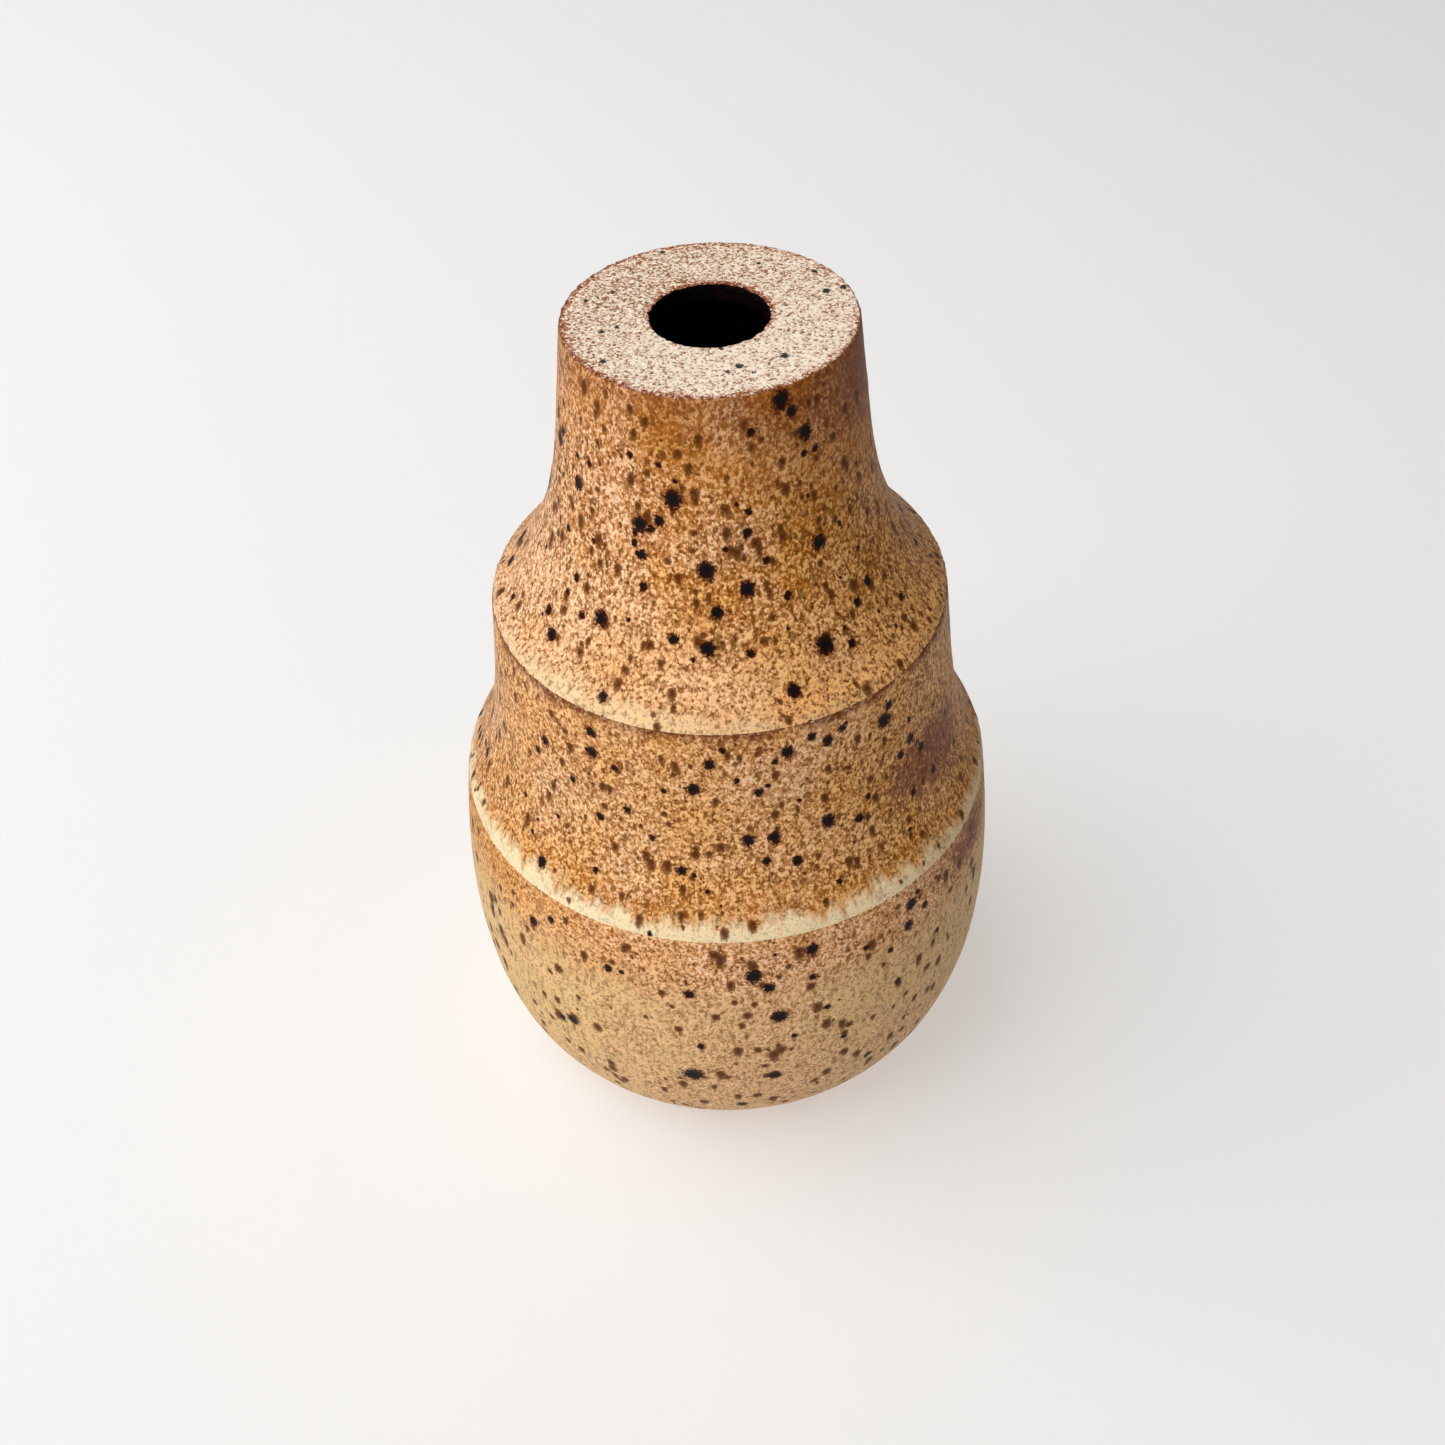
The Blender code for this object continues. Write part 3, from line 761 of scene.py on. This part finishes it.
def stoneware_body(sizes):
    """The clay: cavity, mouth, flat top, the wall under the glaze, bare ridges and turned foot."""
    columns = 420
    lip_round, rim_round = 0.35 * MM, 0.25 * MM
    under_glaze, edge_step = 0.10 * MM, 0.35 * MM
    bare_foot = 2.2 * MM
    mouth, top = sizes.mouth_radius, sizes.height
    throat = top - MOUTH_BARE
    seat = moved_sideways(cavity_line(sizes, throat), 0.8 * MM)[::-1]
    bore = [(mouth, z) for z in np.linspace(throat, top - lip_round, 4)]
    turn = np.linspace(0.0, math.pi / 2, 6)[1:]
    rise = [mouth + lip_round * (1 - np.cos(turn)), top - lip_round * (1 - np.sin(turn))]
    rise = np.column_stack(rise)
    across = np.linspace(rise[-1][0], sizes.rim_radius - rim_round, 46)[1:]
    disc = [(radius, top) for radius in across]
    outside = []
    walls = outer_walls(sizes)
    for wall in walls:
        near = np.array([0.25, 0.5, 0.8, 1.2, 1.7, 2.4]) * MM
        far = np.arange(4.0 * MM, wall.length - 3.5 * MM, 2.5 * MM)
        places = np.concatenate([near, far, wall.length - near[::-1]])
        line, outward = wall.read(places)
        edge = np.minimum(places, wall.length - places) / MM
        depth = under_glaze + edge_step * (1 - np.exp(-((edge / 0.9) ** 2)))
        if wall is walls[-1]:
            depth = np.where(wall.length - places < bare_foot, 0.0, depth)
        outside.append(line - outward * depth[:, None])
    ring = sizes.foot_radius - FOOT_BEVEL
    recess = ring - FOOT_RING_WIDTH
    foot = [(ring + 0.5 * MM, 0.35 * MM), (ring, 0.06 * MM), (ring - 0.5 * MM, 0.0)]
    foot += [(radius, 0.0) for radius in np.linspace(ring - 1.0 * MM, recess + 0.4 * MM, 8)]
    foot += [(recess, 0.1 * MM), (recess - RECESS_DEPTH, RECESS_DEPTH)]
    foot += [(radius, RECESS_DEPTH) for radius in np.linspace(recess - 2.5 * MM, 1.0 * MM, 14)]
    parts = [seat, bore, rise, disc, *outside, foot]
    profile = np.vstack([np.array(part) for part in parts])
    starts = np.cumsum([0] + [len(part) for part in parts])
    points = turned_points(profile, columns)

    # Sandy tooth on the bare faces, and grit torn along the edges of the mouth and the rim
    flat = points.reshape(-1, 3)
    radius = np.hypot(flat[:, 0], flat[:, 1])
    angle = np.arctan2(flat[:, 1], flat[:, 0])
    row = np.repeat(np.arange(len(profile)), columns)
    on_top = (row >= starts[2]) & (row < starts[4])
    grit = bumps(flat, 0.5 * MM, 31)
    tear = bumps(flat, 0.9 * MM, 37) + 0.6 * bumps(flat, 0.4 * MM, 39)
    flat[:, 2] -= np.where(on_top, 0.04 * MM * (1 + grit), 0.0)
    high = flat[:, 2] > top - 1.2 * MM
    rim_edge = high * np.exp(-(((radius - sizes.rim_radius) / (0.4 * MM)) ** 2))
    mouth_edge = high * np.exp(-(((radius - mouth) / (0.5 * MM)) ** 2))
    pull = MM * (0.20 * mouth_edge * tear + 0.12 * rim_edge * (tear - 0.2))
    flat[:, 0] += np.cos(angle) * pull
    flat[:, 1] += np.sin(angle) * pull
    points = handmade(flat).reshape(points.shape)

    weights = np.full(len(profile), 0.4)
    weights[starts[2] : starts[4]] = 2.0
    poles = [(0.0, 0.0, profile[0][1]), (0.0, 0.0, RECESS_DEPTH)]
    piece = skin("stoneware_body", points, weights, False, poles)

    # Toast: a ring round the mouth, widest at the back right, and a broken line along the rim. The
    # bare ridges are toasted too, the foot only lightly, and the bare throat of the mouth is painted
    # black as painted shade.
    ridges, foot_toast, black = 0.95, 0.25, 2.6
    back_right = 0.5 + 0.5 * np.sin(angle + 0.5)
    ring_width = 0.35 + 0.75 * back_right
    from_mouth = np.clip((radius - mouth) / MM, 0.0, None)
    mouth_toast = (0.5 + 0.6 * back_right) * np.exp(-((from_mouth / ring_width) ** 2))
    sides = 0.8 + 0.2 * np.cos(angle - math.radians(-130))
    rim_toast = 0.95 * sides * np.exp(-((sizes.rim_radius - radius) / MM / 1.2) ** 2)
    toast = np.where(on_top, mouth_toast + rim_toast, ridges)
    toast = np.where(row >= starts[-2] - 3, foot_toast, toast)
    # Painted shade: the bare throat of the mouth and the start of the lip get the level that paints
    # them near-black
    toast = np.where(row < starts[2] + 2, black, toast)
    speck = np.full(len(flat), CLEAR)
    for x, y, width in RIM_SPECKS:
        away = np.hypot(flat[:, 0] / MM - x, flat[:, 1] / MM - y) / (width / 2)
        speck = np.minimum(speck, np.where(on_top, away, CLEAR))
    # More dark sand grains towards the back left of the top
    back_left = -np.cos(angle + 1.0)
    back_left_darkening = np.where(on_top, 0.1 + 0.9 * back_left, 0.0)
    keep_values(piece, "marks", toast, speck, back_left_darkening)
    return piece


def liner_coat(sizes):
    """The thin coat inside, from just under the mouth's edge down over the floor."""
    columns = 176
    inner = cavity_line(sizes, sizes.height - MOUTH_BARE - 0.1 * MM)
    outer = moved_sideways(inner, LINER)
    profile = np.vstack([inner[::-1], outer])
    points = turned_points(profile, columns)
    poles = [(0.0, 0.0, inner[-1][1]), (0.0, 0.0, outer[-1][1])]
    return skin("liner_glaze_coat", points, np.ones(len(profile)), False, poles)


# ---- stage


def paper_sweep(colours):
    """A broad sheet that lies flat under the vase and curves up far behind it."""
    half_width, front, back, bend, top = 2.5, -2.0, 1.6, 0.8, 2.5
    across = np.linspace(-half_width, half_width, 11)
    flat = [(y, 0.0) for y in np.linspace(front, back, 10)]
    turns = np.linspace(0.1, math.pi / 2, 12)
    rise = [(back + bend * math.sin(turn), bend - bend * math.cos(turn)) for turn in turns]
    line = flat + rise + [(back + bend, top)]
    vertices = [(x, y, z) for y, z in line for x in across]
    width = len(across)
    starts = [i * width + j for i in range(len(line) - 1) for j in range(width - 1)]
    faces = [(start, start + 1, start + width + 1, start + width) for start in starts]
    mesh = bpy.data.meshes.new("paper_sweep")
    mesh.from_pydata(vertices, [], faces)
    mesh.shade_smooth()
    mesh.materials.append(matt_paper(colours))
    return bpy.data.objects.new("paper_sweep", mesh)


def soft_light(scene, name, place, size, power, tint, shadow=True, only=None, leave=None):
    """A square soft box that faces the vase. It may light one object only, or leave one out."""
    light = bpy.data.lights.new(name, "AREA")
    light.shape = "SQUARE"
    light.size = size
    light.energy = power
    light.color = linear(tint)
    light.use_shadow = shadow
    lamp = bpy.data.objects.new(name, light)
    lamp.location = place
    aim = Vector((0.0, 0.0, 0.06)) - Vector(place)
    lamp.rotation_euler = aim.to_track_quat("-Z", "Y").to_euler()
    scene.collection.objects.link(lamp)
    if only or leave:
        lit = bpy.data.collections.new(name + "_lights")
        lit.objects.link(only or leave)
        lit.collection_objects[0].light_linking.link_state = "INCLUDE" if only else "EXCLUDE"
        lamp.light_linking.receiver_collection = lit


class BUDVASE_OT_stage(bpy.types.Operator):
    """Sets the camera, the soft light and the paper that the vase stands on"""

    bl_idname = "budvase.stage"
    bl_label = "Stage"

    def execute(self, context):
        scene = context.scene
        scene.view_settings.view_transform = "Standard"
        lens = bpy.data.cameras.new("camera")
        lens.sensor_width = 36.0
        lens.lens = 39.08
        camera = bpy.data.objects.new("camera", lens)
        tilt = Matrix.Rotation(math.radians(45.24), 4, "X")
        roll = Matrix.Rotation(math.radians(-2.12), 4, "Z")
        turn = Matrix.Rotation(math.radians(0.09), 4, "Z")
        camera.matrix_world = Matrix.Translation((0.0, -0.1808, 0.2411)) @ turn @ tilt @ roll
        scene.collection.objects.link(camera)
        scene.camera = camera

        sweep = paper_sweep(scene.vase_colours)
        scene.collection.objects.link(sweep)
        soft_light(scene, "window", (-0.71, -0.59, 1.24), 1.2, 27.5, "FFFBF4", leave=sweep)
        soft_light(scene, "ceiling", (-0.85, -0.10, 1.40), 1.8, 17.0, "FFFFFF", only=sweep)
        soft_light(scene, "bounce", (-0.85, -0.10, 1.40), 1.8, 25.0, "FFFFFF", False, only=sweep)
        soft_light(scene, "back_fill", (1.0, 1.1, 0.9), 1.0, 2.0, "FFE6C4", leave=sweep)

        world = bpy.data.worlds.new("room")
        world.use_nodes = True
        background = world.node_tree.nodes["Background"]
        background.inputs["Color"].default_value = (*linear("F6F8FA"), 1.0)
        background.inputs["Strength"].default_value = 0.14
        scene.world = world
        return {"FINISHED"}


# ---- operators


def coat_tier(context, number, node, title, tier, look):
    """Coats the tier of that number, and hands the coat over in place of its CAD node."""
    sizes = context.scene.vase_sizes
    wall = outer_walls(sizes)[number]
    piece = glaze_coat(node + "_coat", wall, sizes, tier)
    glaze = satin_glaze(title, wall.length / MM, look, context.scene.vase_colours)
    finish_piece(piece, node, glaze)


class BUDVASE_OT_stoneware(bpy.types.Operator):
    """Turns the bare clay body"""

    bl_idname = "budvase.stoneware"
    bl_label = "Stoneware body"

    def execute(self, context):
        piece = stoneware_body(context.scene.vase_sizes)
        finish_piece(piece, "clay_body", bare_stoneware(context.scene.vase_colours))
        return {"FINISHED"}


class BUDVASE_OT_neck_glaze(bpy.types.Operator):
    """Coats the neck: brown under the rim, then ochre, and a pale pinkish pool above the ridge"""

    bl_idname = "budvase.neck_glaze"
    bl_label = "Neck glaze"

    def execute(self, context):
        colours = context.scene.vase_colours
        tier = {
            "mesh": (520, 124, 3),
            "bare": (0.15 * MM, 0.08 * MM),
            "tear": (0.30, 0.24),
            # Flame side at the key lamp's side: partly painted light
            "flame": (-65, 1.0),
            "spots": NECK_SPOTS,
            "back": 34,
            "small": 60,
            "soft": 420,
            "stains": (0.6, 1.5),
            "flashes": [(150, 20, 20, 9), (85, 3, 35, 9)],
            "pooled": (1.4, -0.4),
        }
        look = {
            "wander": 3.5,
            "ground": [
                (5.0, colours.umber),
                (12.0, colours.ochre),
                (28.0, colours.ochre),
                (42.0, colours.rose),
            ],
            # Zones drift 6 mm with the flame side: painted light on the lit left, painted shade on
            # the right
            "drift": 6.0,
            "flame": 0.2,
            "patch": (0.18, colours.blush),
            "lee": 1.1,
            "runs": [(0.0, 0.4), (20.0, 0.7), (36.0, 1.0), (44.0, 0.6)],
            "grains": [(0.0, 0.55), (6.0, 0.6), (16.0, 0.85), (40.0, 1.0)],
            "pale": [(0.0, 0.1), (10.0, 0.35), (26.0, 1.0)],
            "pins": [(12.0, 1.0), (36.0, 0.8), (43.0, 0.5)],
            "pool": (2.8, colours.bisque),
        }
        coat_tier(context, 0, "neck_glaze", "satin ochre glaze", tier, look)
        return {"FINISHED"}


class BUDVASE_OT_middle_glaze(bpy.types.Operator):
    """Coats the middle tier: red-brown at its top edge, then tan, and cream above the lower ridge"""

    bl_idname = "budvase.middle_glaze"
    bl_label = "Middle glaze"

    def execute(self, context):
        colours = context.scene.vase_colours
        tier = {
            "mesh": (640, 96, 5),
            "bare": (0.08 * MM, 0.04 * MM),
            "tear": (0.24, 0.08),
            # Flame side at the key lamp's side: partly painted light
            "flame": (-65, 1.0),
            "spots": MIDDLE_SPOTS,
            "back": 36,
            "small": 50,
            "soft": 300,
            "stains": (0.6, 1.5),
            "flashes": [(50, 19, 10, 5), (64, 20, 12, 7), (-150, 12, 18, 7)],
            "pooled": (0.4, 0.7),
        }
        look = {
            "wander": 3.0,
            "ground": [
                (0.0, colours.rust),
                (1.8, colours.tan),
                (26.0, colours.tan),
                (33.0, colours.ochre),
            ],
            "drift": 0.0,
            "flame": 0.13,
            "patch": (0.25, colours.blush),
            "lee": 1.25,
            "runs": [(0.0, 0.2), (16.0, 0.6), (30.0, 1.0), (35.0, 0.9)],
            "grains": [(0.0, 0.3), (2.0, 0.85), (26.0, 0.9), (34.0, 0.6)],
            "pale": [(0.0, 0.8), (3.0, 1.0)],
            "pins": [(12.0, 1.0), (28.0, 0.7), (34.0, 0.3)],
            "pool": (3.0, colours.cream),
        }
        coat_tier(context, 1, "middle_glaze", "satin tan glaze", tier, look)
        return {"FINISHED"}


class BUDVASE_OT_bowl_glaze(bpy.types.Operator):
    """Coats the bowl: tan under the lower ridge, then pinkish, and greenish cream to the foot"""

    bl_idname = "budvase.bowl_glaze"
    bl_label = "Bowl glaze"

    def execute(self, context):
        colours = context.scene.vase_colours
        tier = {
            "mesh": (600, 140, 7),
            "bare": (0.04 * MM, 2.0 * MM),
            "tear": (0.08, 0.3),
            "flame": (5, 4.0),
            "spots": BOWL_SPOTS,
            "back": 36,
            "small": 60,
            "soft": 620,
            "stains": (0.7, 1.9),
            "flashes": [(64, 4, 12, 5), (-170, 6, 20, 5)],
            "pooled": (0.5, 0.2),
        }
        look = {
            "wander": 6.0,
            "ground": [(3.0, colours.tan), (6.0, colours.rose), (14.0, colours.khaki)],
            "drift": 0.0,
            "flame": 0.22,
            "patch": (0.95, colours.rose),
            "lee": 0.95,
            "runs": [(0.0, 0.1), (8.0, 0.5), (40.0, 0.5), (55.0, 0.3)],
            "grains": [(0.0, 0.9), (8.0, 0.95), (12.0, 0.65)],
            "pale": [(0.0, 1.0)],
            "pins": [(8.0, 1.0), (13.0, 0.6), (50.0, 0.5)],
            "pool": (0.5, colours.cream),
        }
        coat_tier(context, 2, "bowl_glaze", "satin khaki glaze", tier, look)
        return {"FINISHED"}


class BUDVASE_OT_liner_glaze(bpy.types.Operator):
    """Coats the inside"""

    bl_idname = "budvase.liner_glaze"
    bl_label = "Liner glaze"

    def execute(self, context):
        piece = liner_coat(context.scene.vase_sizes)
        glaze = brown_liner_glaze(context.scene.vase_colours)
        finish_piece(piece, "liner_glaze", glaze)
        return {"FINISHED"}


STEPS = (
    BUDVASE_OT_stage,
    BUDVASE_OT_stoneware,
    BUDVASE_OT_neck_glaze,
    BUDVASE_OT_middle_glaze,
    BUDVASE_OT_bowl_glaze,
    BUDVASE_OT_liner_glaze,
)


class BUDVASE_PT_panel(bpy.types.Panel):
    """Steps, sizes and colours of the bud vase"""

    bl_idname = "BUDVASE_PT_panel"
    bl_label = "Bud vase"
    bl_space_type = "VIEW_3D"
    bl_region_type = "UI"
    bl_category = "Bud vase"

    def draw(self, context):
        for step in STEPS:
            self.layout.operator(step.bl_idname)
        for group in (context.scene.vase_sizes, context.scene.vase_colours):
            for name in group.__annotations__:
                self.layout.prop(group, name)


CLASSES = (VaseSizes, VaseColours, *STEPS, BUDVASE_PT_panel)


def register():
    for kind in CLASSES:
        bpy.utils.register_class(kind)
    bpy.types.Scene.vase_sizes = PointerProperty(type=VaseSizes)
    bpy.types.Scene.vase_colours = PointerProperty(type=VaseColours)


def unregister():
    del bpy.types.Scene.vase_colours
    del bpy.types.Scene.vase_sizes
    for kind in reversed(CLASSES):
        bpy.utils.unregister_class(kind)


def main():
    register()
    for step in STEPS:
        area, name = step.bl_idname.split(".")
        getattr(getattr(bpy.ops, area), name)()


if __name__ == "__main__":
    main()
